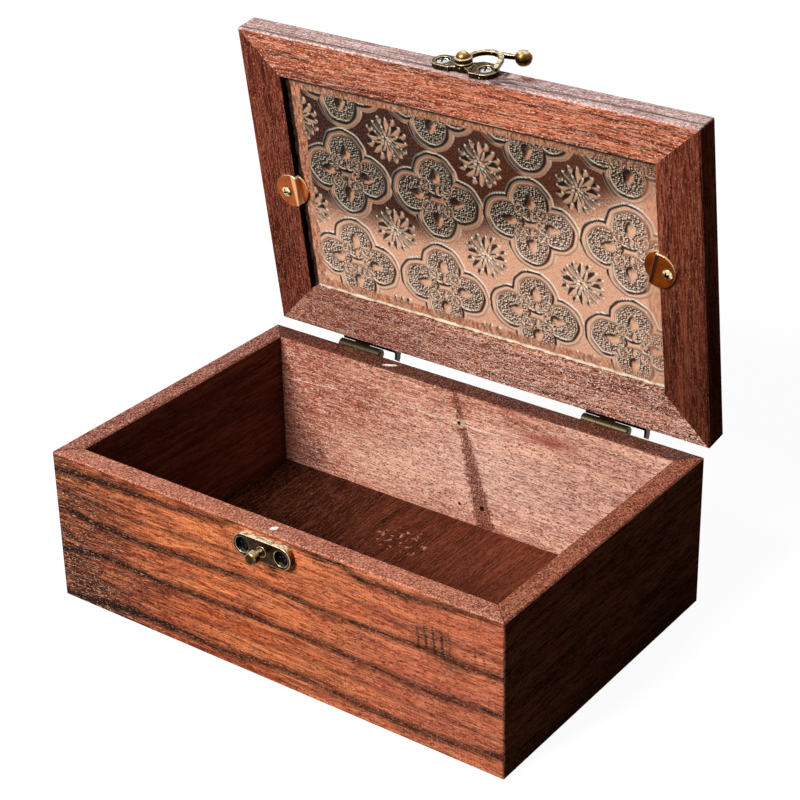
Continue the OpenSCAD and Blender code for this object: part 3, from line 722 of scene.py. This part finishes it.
def pattern(a, b):
    """Relief in mm, 0 at the deepest, with the distance to the outline and the stippled ground."""
    p, q, r, s = places(a, b)
    sides = np.hypot(np.abs(p) - SIDE_LOBES[0], q) - SIDE_LOBES[1]
    ends = np.hypot(p, np.abs(q) - END_LOBES[0]) - END_LOBES[1]
    edge = np.minimum(sides, ends)
    outline = rounded(edge + RIB_IN, RIB_HALF)
    curls = np.hypot(np.abs(p) - CURL_PLACE, np.abs(q) - CURL_PLACE)
    raised = np.maximum(relief_of_leaves(a, b), 0.7 * rounded(curls - CURL_RADIUS, 0.5))
    raised = np.maximum(raised, 0.6 * rounded(curls, 0.8))
    raised = np.maximum(raised, rounded(np.hypot(r, s), 1.0))
    ground = rise(-edge, 3.1, 0.3) * (raised < 0.02)
    stipple = dots(a, b) * ground
    relief = np.maximum(RIB_HIGH * outline + DOT_HIGH * stipple, BUD_HIGH * raised)
    return relief, edge, ground


def flanks(a, b, reach=0.16):
    """Which way each point of the glass leans, as four masks, and the stippled ground.

    A rib of clear glass bends the view, and these masks paint it: its flank towards the top
    left gets painted dark from behind the lid, the other one painted pale wood, and its steep
    upper right side a painted highlight.
    """
    relief, edge, ground = pattern(a, b)
    lean_a = (pattern(a + reach, b)[0] - pattern(a - reach, b)[0]) / (2 * reach)
    lean_b = (pattern(a, b + reach)[0] - pattern(a, b - reach)[0]) / (2 * reach)
    steep = np.hypot(lean_a, lean_b)
    strong = rise(steep, 0.03, 0.08)
    left = (lean_a - lean_b) / (math.sqrt(2) * steep + 1e-6)
    right = (-lean_a - lean_b) / (math.sqrt(2) * steep + 1e-6)
    dark = strong * rise(left, 0.15, 0.35)
    warm = strong * rise(-left, 0.25, 0.35)
    grey = strong * rise(np.abs(right), 0.6, 0.3) * 0.7
    pale = rise(steep, 0.42, 0.2) * rise(right, -0.1, 0.5)
    # Thin lines of painted shade and painted highlight run along the outlines; in the flowers
    # they follow the leaves
    leaves = relief_of_leaves(a, b)
    in_flower = edge > 0.6
    dark = np.maximum(dark, hairline(leaves - 0.13, 0.12) * in_flower * 0.85)
    for inside, strength in ((3.0, 0.7), (2.45, 0.75), (0.35, 0.75)):
        dark = np.maximum(dark, hairline(edge + inside, 0.3) * strength)
    pale = np.maximum(pale, hairline(edge + 1.2, 0.3) * 0.45)
    pale = np.maximum(pale, hairline(edge - 0.4, 0.25) * 0.4)
    pale = np.maximum(pale, rise(leaves, 0.86, 0.1) * in_flower * 0.6)
    return relief, {"dark": dark, "warm": warm, "grey": grey, "pale": pale, "ground": ground}


print("the roller's repeat is", REPEAT, "mm, turned by", round(math.degrees(ASKEW), 1), "degree")


# %% [markdown]
# The pane is one closed mesh: a grid with the relief on the inner side, the same grid flat
# on the outer side, and a strip round the edge that joins them. Each point keeps how the
# glass leans there, so the finish can give each flank its painted shade or highlight, on
# both sides.

# %% The glass pane
# The pane's rolled side starts this much inside the solid pane, so the relief stays within it
RELIEF_ROOM = 0.5
FINE_STEP, COARSE_STEP = 0.34, 0.68


def glass_pane(step):
    """The whole pane as one mesh, with a point every step mm."""
    across = np.arange(PANE_LEFT, PANE_RIGHT + step / 2, step)
    deep = np.arange(PANE_FRONT, PANE_BACK + step / 2, step)
    x, y = np.meshgrid(across, deep)
    relief, fields = flanks(x + CASE_W / 2, CASE_D / 2 - y)
    z = PANE_Z + RELIEF_ROOM - relief
    rows, columns = x.shape
    points = np.column_stack([x.ravel(), y.ravel(), z.ravel()])
    corner = np.arange(rows * columns).reshape(rows, columns)
    quads = np.stack([corner[:-1, :-1], corner[1:, :-1], corner[1:, 1:], corner[:-1, 1:]], -1)
    faces = quads.reshape(-1, 4).tolist()
    first = len(points)
    faces += (quads.reshape(-1, 4)[:, ::-1] + first).tolist()
    outer = points.copy()
    outer[:, 2] = PANE_Z + PANE_T
    points = np.vstack([points, outer])
    edge = np.concatenate([corner[0, :], corner[1:, -1], corner[-1, -2::-1], corner[-2:0:-1, 0]])
    ahead = np.roll(edge, -1)
    faces += np.stack([edge, ahead, ahead + first, edge + first], -1).tolist()
    mesh = bpy.data.meshes.new("glass")
    mesh.from_pydata(opened(points).tolist(), [], faces)
    mesh.update()
    for name, values in fields.items():
        if name != "ground":
            values = values * (1 - fields["ground"])
        layer = mesh.attributes.new(name, "FLOAT", "POINT")
        layer.data.foreach_set("value", np.tile(values.ravel(), 2).astype(np.float32))
    piece = bpy.data.objects.new("rolled_glass", mesh)
    bpy.context.scene.collection.objects.link(piece)
    smooth(mesh)
    print("glass:", len(points), "points")
    return piece


def smooth(mesh):
    """Shades the faces as parts of round surfaces."""
    mesh.polygons.foreach_set("use_smooth", [True] * len(mesh.polygons))


glass = glass_pane(FINE_STEP)
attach(glass, "lid")
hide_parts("glass_pane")


# %% [markdown]
# Clear ribbed glass shows broken bits of what lies behind it; here they are painted into
# its colour, as it lets little light through. The painted view is the dusk behind the lid at
# the top left, pale wood elsewhere, and the frame's own lip near the border. The painted
# shade and highlights of the flanks and of the beads of the ground, the green cut edge, a
# painted highlight along the back and the painted shade of the gap beside the pane are laid
# over it. Only the smooth outer side has a coat, as it is the one that mirrors.

# %% Finish of the glass
def beads(finish, x, y, push):
    """Distance to the nearest bead of the ground, seen from a place pushed along both axes."""
    where = finish.point(x + push, y + push, 0.0)
    values = {"Vector": where, "Scale": 1.2, "Randomness": 0.6}
    return finish.node("ShaderNodeTexVoronoi", None, values, "Distance")


def behind_glass(finish, x, day, speck):
    """The painted view through the flat parts: dusk where day is 0, pale wood where 1."""
    dusk = finish.mix(finish.ramp(x, -70.0, 70.0), "#2c150d", "#502c1e")
    colour = finish.mix(day, dusk, "#dca688")
    dull = finish.mix(day, "#7c4c3a", "#a8694c")
    clear = finish.mix(day, "#1c0a06", "#f0c0a4")
    colour = finish.mix(finish.ramp(speck, 0.52, 0.64) * 0.5, colour, dull)
    return finish.mix(finish.ramp(1 - speck, 0.52, 0.64) * 0.4, colour, clear)


def lip_behind(finish, x, y):
    """1 where the frame's lip lies behind the pane, weaker towards the right."""
    side = CASE_W / 2 - RAIL_SIDE - LIP
    front = CASE_D / 2 - RAIL_FRONT - LIP + 2.0
    back = CASE_D / 2 - RAIL_BACK - LIP + 1.4
    over = [finish.ramp(reach, edge - 0.4, edge + 0.4)
            for reach, edge in ((abs(x), side), (0 - y, front), (y, back))]
    lip = finish.larger(over[0], finish.larger(over[1], over[2]))
    return lip * (1 - finish.ramp(x, 30.0, 90.0) * 0.5)


def borders(finish, x, y, colour):
    """Green cut edge at the front, painted highlight on the back foot, painted shade in the left gap."""
    green = finish.band(y, PANE_FRONT - 0.2, PANE_FRONT + 1.4, 0.2)
    colour = finish.mix(green * 0.9, colour, "#3d4a36")
    # Painted highlight along the foot of the pane
    foot = finish.band(y, PANE_BACK - 1.2, PANE_BACK + 0.5, 0.3)
    colour = finish.mix(foot * 0.9, colour, "#ecdcc0")
    # Painted shade in the gap beside the pane's left edge
    gap = 1 - finish.ramp(x, PANE_LEFT + 1.4, PANE_LEFT + 2.2)
    return finish.mix(gap * 0.95, colour, "#0d0603")


def glass_finish():
    """The glass: a painted view of what lies behind it, painted light on the relief, its borders."""
    finish = Finish("rolled_glass")
    x, y, z = finish.place(True)
    dark, warm, grey, pale, ground = [
        finish.node("ShaderNodeAttribute", {"attribute_name": name}, None, "Fac")
        for name in ("dark", "warm", "grey", "pale", "ground")
    ]
    cloud = finish.noise(x * 0.03, y * 0.03, 2.0, 3.0) - 0.5
    speck = finish.noise(x * 1.3, y * 1.3, 12.0, 2.0, 0.7)
    # Painted view: the skyline parts the dusk behind the lid from the pale wood
    skyline = 9.0 - finish.ramp(x, -30.0, 115.0) * 52.0 + cloud * 8 + (speck - 0.5) * 14.0
    outside = finish.ramp(z, PANE_Z + 1.5, PANE_Z + 2.5)
    day = finish.ramp(y - skyline, -9.0, 9.0) * (1 - outside) + outside * 0.35
    colour = behind_glass(finish, x, day, speck)
    # Painted view of the frame's stained lip through the glass
    lip = lip_behind(finish, x, y) * (1 - outside)
    grain = finish.noise(x * 0.9, y * 0.25, 6.0, 3.0, 0.7)
    stained = finish.mix(finish.ramp(grain, 0.42, 0.58), "#cc8864", "#844630")
    stained = finish.mix(finish.ramp(speck, 0.56, 0.64) * 0.6, stained, "#f0c8a8")
    colour = finish.mix(lip * 0.9, colour, stained)
    show = 1 - lip * 0.75
    # Painted shade, pale wood and highlights on the flanks of the relief
    murk = finish.mix(day, "#120805", "#22110a")
    glow = finish.mix(day, "#d09876", "#eebb98")
    glint = finish.mix(day, "#c8bda8", "#f4e8d6")
    colour = finish.mix(grey * show, colour, finish.mix(day, "#5c4c40", "#947e6e"))
    colour = finish.mix(warm * show * 0.9, colour, glow)
    colour = finish.mix(dark * show * 0.96, colour, murk)
    colour = finish.mix(pale * show * 0.95, colour, glint)
    ground = ground * show
    colour = finish.mix(ground * 0.45, colour, finish.mix(day, "#6c5442", "#ac8a72"))
    # Painted shade and highlights on the beads of the ground
    lean = beads(finish, x, y, -0.18) - beads(finish, x, y, 0.18)
    lift = beads(finish, x, y, 0.0)
    colour = finish.mix(ground * finish.ramp(lift, 0.36, 0.52) * 0.8, colour, murk)
    colour = finish.mix(ground * finish.ramp(lean, 0.06, 0.22) * 0.75, colour, murk)
    colour = finish.mix(ground * finish.ramp(0 - lean, 0.08, 0.24) * 0.75, colour, glint)
    colour = borders(finish, x, y, colour)
    values = {"Base Color": colour, "Roughness": 0.16, "IOR": 1.5}
    values["Specular IOR Level"] = 0.05
    values["Transmission Weight"] = 0.04
    values["Coat Weight"] = outside * 0.6
    return finish.surface("ShaderNodeBsdfPrincipled", values)


glass.data.materials.append(glass_finish())
print("the glass has the finish", glass.data.materials[0].name)

# %% [markdown]
# The metal parts are cast or stamped, so none has a knife-sharp edge. A copy of each
# solid is rebuilt as a fine even mesh and relaxed a little: corners turn round, the
# slots of the screws stay. The copy stands for its solid and moves with the same body.

# %% Soften the metal
def soften(node, body, voxel, rounds, slot, material):
    """A copy of a solid with round edges: voxel is its mesh width in mm."""
    piece = bpy.data.objects.new("soft_" + node, bpy.data.objects[node].data.copy())
    bpy.context.scene.collection.objects.link(piece)
    remesh = piece.modifiers.new("even", "REMESH")
    remesh.mode = "VOXEL"
    remesh.voxel_size = voxel * MM
    relax = piece.modifiers.new("relax", "SMOOTH")
    relax.factor = 0.5
    relax.iterations = rounds
    bpy.context.view_layer.update()
    graph = bpy.context.evaluated_depsgraph_get()
    mesh = bpy.data.meshes.new_from_object(piece.evaluated_get(graph))
    piece.modifiers.clear()
    piece.data = mesh
    smooth(mesh)
    mesh.materials.clear()
    mesh.materials.append(material)
    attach(piece, body)
    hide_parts(node)
    print(node, "has", len(mesh.vertices), "points")


# %% [markdown]
# Three finishes serve the metal. Antique bronze is dark in its hollows, worn and painted
# to pale gold on its edges, and painted light and shade by the way it faces: pale gold on
# top, a dark band below, a painted reflection of the floor underneath. The clips and hinges
# are smooth metal in two tones, with a painted highlight on what faces up and to the right.
# The screws have a cross painted dark as shade, found by how far a point lies under the
# dome of its head. All three are noise, direction and place, with no picture.

# %% Antique bronze
# Square of the distance from a well's middle where its painted shade ends: from and to
WELL_RIM = (8.6, 10.2)


def bronze(name, top, wells=()):
    """Brown in the hollows, edges worn pale with a painted highlight, painted light by facing.

    top is the painted tone of a face that looks straight up; wells are the middles, in x and
    z, of the sunk rings round the screws, which are painted nearly black as shade.
    """
    finish = Finish(name)
    x, y, z = finish.place()
    edges = finish.node("ShaderNodeNewGeometry", None, None, "Pointiness")
    facing = finish.node("ShaderNodeTexCoord", None, None, "Normal")
    up = finish.node("ShaderNodeSeparateXYZ", None, {0: facing}, 2)
    cloud = finish.noise(x * 0.7, y * 0.7, z * 0.7, 4.0, 0.6)
    turned = up * 0.5 + 0.5 + (cloud - 0.5) * 0.3
    # Painted light by facing: a painted reflection of the floor under what faces down, a band of painted
    # shade a little below the sides, pale gold painted highlights on top
    tones = (
        (0.0, "#b8883a"), (0.24, "#6e4e1c"), (0.38, "#140d08"), (0.55, "#382410"),
        (0.74, "#6c4a20"), (0.84, "#a87e40"), (0.92, "#f4dcae"), (0.98, top),
    )
    stops = [(place, paint(tone)[:3]) for place, tone in tones]
    colour = finish.node("ShaderNodeValToRGB", {"stops": stops}, {0: turned})
    colour = finish.mix(finish.ramp(cloud, 0.52, 0.68) * 0.35, colour, "#6a4822")
    # Brown breaks in the painted highlight on top
    breaks = finish.ramp(finish.noise(x * 0.45, y * 1.2, z * 1.2 + 5.0, 2.0, 0.6), 0.46, 0.56)
    colour = finish.mix(breaks * finish.ramp(turned, 0.8, 0.95) * 0.75, colour, "#5e4018")
    # Edges worn to pale gold, with a painted highlight on them
    colour = finish.mix(finish.ramp(edges + (cloud - 0.5) * 0.06, 0.508, 0.56), colour, "#ecd6ac")
    colour = finish.mix((1 - finish.ramp(edges, 0.44, 0.495)) * 0.9, colour, "#0a0604")
    # The wells round the screws are painted nearly black as shade
    for a, b in wells:
        gap = square(x - a) + square(z - b)
        colour = finish.mix((1 - finish.ramp(gap, *WELL_RIM)) * 0.94, colour, "#0b0908")
    grain = finish.noise(x * 3.0, y * 3.0, z * 3.0, 3.0, 0.6)
    bump = finish.node("ShaderNodeBump", None, {"Strength": 0.25, "Distance": 0.0001, "Height": grain})
    rough = 0.34 + (grain - 0.5) * 0.2
    metal = 1 - finish.ramp(turned, 0.82, 0.94) * 0.75
    values = {"Base Color": colour, "Metallic": metal, "Roughness": rough, "Normal": bump}
    return finish.surface("ShaderNodeBsdfPrincipled", values)


def polished(name, light, dark, rim, metal, rough, crease=None):
    """Smooth metal in two tones; rim is a painted highlight on what faces up and to the right.

    crease is a strip across x on a part of the lid: from, to, its lean along y, and a tone.
    """
    finish = Finish(name)
    x, y, z = finish.place(bool(crease))
    edges = finish.node("ShaderNodeNewGeometry", None, None, "Pointiness")
    facing = finish.node("ShaderNodeTexCoord", None, None, "Normal")
    up = finish.node("ShaderNodeSeparateXYZ", None, {0: facing}, 2)
    side = finish.node("ShaderNodeSeparateXYZ", None, {0: facing}, 0)
    streaks = finish.noise(x * 0.12, y * 0.12, z * 0.25, 3.0, 0.6)
    colour = finish.mix(finish.ramp(streaks, 0.35, 0.65), light, dark)
    if crease:
        low, high, lean, tone = crease
        colour = finish.mix(finish.band(x - y * lean, low, high, 0.5) * 0.85, colour, tone)
    # Painted highlight on what faces up and to the right, and on the edges that face up
    colour = finish.mix(finish.ramp(up + side * 0.5, 0.25, 0.6), colour, rim)
    colour = finish.mix(finish.ramp(edges, 0.52, 0.58) * finish.ramp(up, -0.2, 0.3), colour, rim)
    values = {"Base Color": colour, "Metallic": metal, "Roughness": rough + (streaks - 0.5) * 0.12}
    return finish.surface("ShaderNodeBsdfPrincipled", values)


def cross_head(name, light, dull, worn, shut, axis, face, spots, dome):
    """A domed screw, its cross painted dark as shade: all that lies deeper than its head's dome.

    spots are the middles of the heads and dome is the radius of the dome, in mm.
    """
    finish = Finish(name)
    spot = finish.place(shut)
    first, second = [spot[i] for i in range(3) if i != axis]
    gap = None
    for a, b in spots:
        near = square(first - a) + square(second - b)
        least = {"operation": "MINIMUM"}
        gap = near if gap is None else finish.node("ShaderNodeMath", least, {0: gap, 1: near})
    below = finish.ramp(spot[axis] - face - gap / (2 * dome), 0.05, 0.14)
    wear = finish.noise(spot[0] * 1.6, spot[1] * 1.6, spot[2] * 1.6, 3.0, 0.6)
    colour = finish.mix(finish.ramp(wear, 0.46, 0.56) * worn, light, dull)
    # Painted shade in the cross and on the side of the head under its dome
    colour = finish.mix(below, colour, "#0a0806")
    values = {"Base Color": colour, "Metallic": 1.0, "Roughness": 0.24 + (wear - 0.5) * 0.15}
    return finish.surface("ShaderNodeBsdfPrincipled", values)


def heads_of(node, axis, shut):
    """Where the faces of a node's two screws lie, and the middles of the two heads, in mm."""
    solid = bpy.data.objects[node]
    points = np.array([solid.matrix_world @ v.co for v in solid.data.vertices]) / MM
    if shut:
        turn = np.array(to_shut)
        points = points @ turn[:3, :3].T + turn[:3, 3]
    split = (points[:, 0].min() + points[:, 0].max()) / 2
    others = [i for i in range(3) if i != axis]
    spots = []
    for part in (points[points[:, 0] < split], points[points[:, 0] > split]):
        middle = (part.min(axis=0) + part.max(axis=0)) / 2
        spots.append([float(middle[i]) for i in others])
    return float(points[:, axis].min()), spots


keeper_wells = [tuple(spot) for spot in heads_of("keeper_screws", 1, False)[1]]
# The tone of what faces straight up: a painted highlight on the cast parts and the keeper, a painted dark
# reflection on the face of the latch plate
CAST = bronze("antique_bronze", "#fbe6c0")
KEEPER = bronze("keeper_bronze", "#fff0cc", keeper_wells)
STAMPED = bronze("stamped_bronze", "#241c18")
# The step of each clip catches the light, or hides from it
LEFT_CREASE = (-83.0, -81.0, 0.12, "#f6b47c")
RIGHT_CREASE = (77.5, 79.2, -0.268, "#241408")
LEFT_BRASS = polished("left_brass", "#b45406", "#7a3806", "#ffe2b4", 0.6, 0.25, LEFT_CREASE)
# The right clip's tones are painted darker, a painted dark reflection of the case
RIGHT_BRASS = polished("right_brass", "#92480a", "#662c08", "#ffe2b4", 0.3, 0.25, RIGHT_CREASE)
HINGE = polished("dark_hinge", "#3a332b", "#1d1814", "#463c2c", 1.0, 0.35)
# Node, whether it is on the lid, axis that the heads face, light and dull tone, wear, dome
heads = (
    ("latch_screws", True, 1, "#f8f6f4", "#b8b2ae", 0.4, 4.3),
    # The keeper's screws sit deep in their wells; their tones are painted dark as shade
    ("keeper_screws", False, 1, "#14141c", "#3a3634", 0.6, 3.8),
    ("clip_screws", True, 2, "#fff2c8", "#c08a3c", 0.7, 3.4),
)
for node, shut, axis, light, dull, worn, dome in heads:
    face, spots = heads_of(node, axis, shut)
    print(node, "faces", round(face, 2), "mm, middles", np.round(spots, 1).tolist())
    dress(node, cross_head(node + "_metal", light, dull, worn, shut, axis, face, spots, dome))

# Node, body, mesh width, rounds of relaxing, slot, finish
soft_pieces = (
    ("latch_plate", "lid", 0.14, 3, "antique_bronze", STAMPED),
    ("latch_rivet", "lid", 0.14, 3, "antique_bronze", CAST),
    ("latch_hook", "hook", 0.14, 5, "antique_bronze", CAST),
    ("keeper_plate", "case", 0.14, 3, "antique_bronze", KEEPER),
    ("keeper_stud", "case", 0.12, 3, "antique_bronze", CAST),
    ("left_glass_clip", "lid", 0.14, 5, "polished_brass", LEFT_BRASS),
    ("right_glass_clip", "lid", 0.14, 5, "polished_brass", RIGHT_BRASS),
)
for soft_piece in soft_pieces:
    soften(*soft_piece)
hinges = [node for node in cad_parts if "hinge" in node]
for node in hinges:
    dress(node, HINGE)
print("pieces of the hinges:", hinges)


# %% [markdown]
# The box is photographed on white. The floor is white to the camera and keeps a faint
# shadow, but it sends little light up, so the shaded boards stay as deep as they are.

# %% Floor and backdrop
FLOOR_HALF = 3.0


def floor():
    """A sheet of paper: white to camera, mirrors and glass, grey as a source of light."""
    mesh = bpy.data.meshes.new("floor")
    half = FLOOR_HALF
    corners = [(-half, -half, 0), (half, -half, 0), (half, half, 0), (-half, half, 0)]
    mesh.from_pydata(corners, [], [(0, 1, 2, 3)])
    piece = bpy.data.objects.new("floor", mesh)
    bpy.context.scene.collection.objects.link(piece)
    finish = Finish("paper_floor")
    seen = finish.node("ShaderNodeLightPath", None, None, "Is Camera Ray")
    glossy = finish.node("ShaderNodeLightPath", None, None, "Is Glossy Ray")
    through = finish.node("ShaderNodeLightPath", None, None, "Is Transmission Ray")
    white = seen + glossy + through
    matt = finish.node("ShaderNodeBsdfDiffuse", None, {"Color": (0.16, 0.15, 0.14, 1.0)})
    paper = finish.node("ShaderNodeBsdfDiffuse", None, {"Color": (0.12, 0.12, 0.12, 1.0)})
    glow = finish.node("ShaderNodeEmission", None, {"Color": (1, 1, 1, 1), "Strength": 0.95})
    both = finish.node("ShaderNodeAddShader", None, {0: paper, 1: glow})
    shader = finish.node("ShaderNodeMixShader", None, {0: white, 1: matt, 2: both})
    finish.tree.links.new(shader.socket, finish.output.inputs["Surface"])
    mesh.materials.append(finish.material)
    print("floor:", 2 * half, "m wide")


floor()

# %% [markdown]
# One large lamp stands in front, to the left, as a window would, and throws the shadow of
# the left wall into the case. A weak one behind keeps the back readable. The world is
# white where it is seen or mirrored and nearly dark as a light, which keeps the contrast.

# %% World and lamps
SHADE_LEVEL, MIRROR_LEVEL = 0.072, 0.8

world = bpy.data.worlds.new("studio")
bpy.context.scene.world = world
studio = Finish("studio", world, "ShaderNodeOutputWorld")
seen = studio.node("ShaderNodeLightPath", None, None, "Is Camera Ray")
glossy = studio.node("ShaderNodeLightPath", None, None, "Is Glossy Ray")
through = studio.node("ShaderNodeLightPath", None, None, "Is Transmission Ray")
white = studio.larger(seen, studio.larger(glossy, through) * MIRROR_LEVEL)
level = white * (1 - SHADE_LEVEL) + SHADE_LEVEL
studio.surface("ShaderNodeBackground", {"Color": (1, 1, 1, 1), "Strength": level})
print("world: shaded places get", SHADE_LEVEL, "of white")


def lamp(name, place, target, size, power):
    """A round lamp at a place in metres that shines at the target, with its power in watts."""
    light = bpy.data.lights.new(name, "AREA")
    light.shape = "DISK"
    light.size = size
    light.energy = power
    piece = bpy.data.objects.new(name, light)
    piece.location = place
    aim = Vector(target) - Vector(place)
    piece.rotation_euler = aim.to_track_quat("-Z", "Y").to_euler()
    bpy.context.scene.collection.objects.link(piece)


lamp("window", place=(-0.35, -1.5, 1.25), target=(0.0, 0.0, 0.08), size=0.7, power=56.0)
lamp("back_light", place=(-0.5, 1.6, 0.35), target=(0.0, 0.07, 0.08), size=0.9, power=9.0)
print("lamps:", [light.name for light in bpy.data.lights])

# %% [markdown]
# The camera looks down at the front right corner from a little over half a metre. Its
# place, lens and shift were worked out from the corners of case and lid.

# %% Camera
camera = bpy.data.cameras.new("camera")
camera.lens = 94.95
camera.sensor_width = 36.0
camera.shift_x = -0.0556
camera.shift_y = -0.0744
eye = bpy.data.objects.new("camera", camera)
eye.location = (0.41140, -0.53454, 0.43835)
eye.rotation_euler = tuple(math.radians(angle) for angle in (63.89, 0.50, 35.19))
bpy.context.scene.collection.objects.link(eye)
bpy.context.scene.camera = eye
bpy.context.scene.view_settings.view_transform = "Standard"
print("camera:", camera.lens, "mm lens at", [round(part, 3) for part in eye.location])
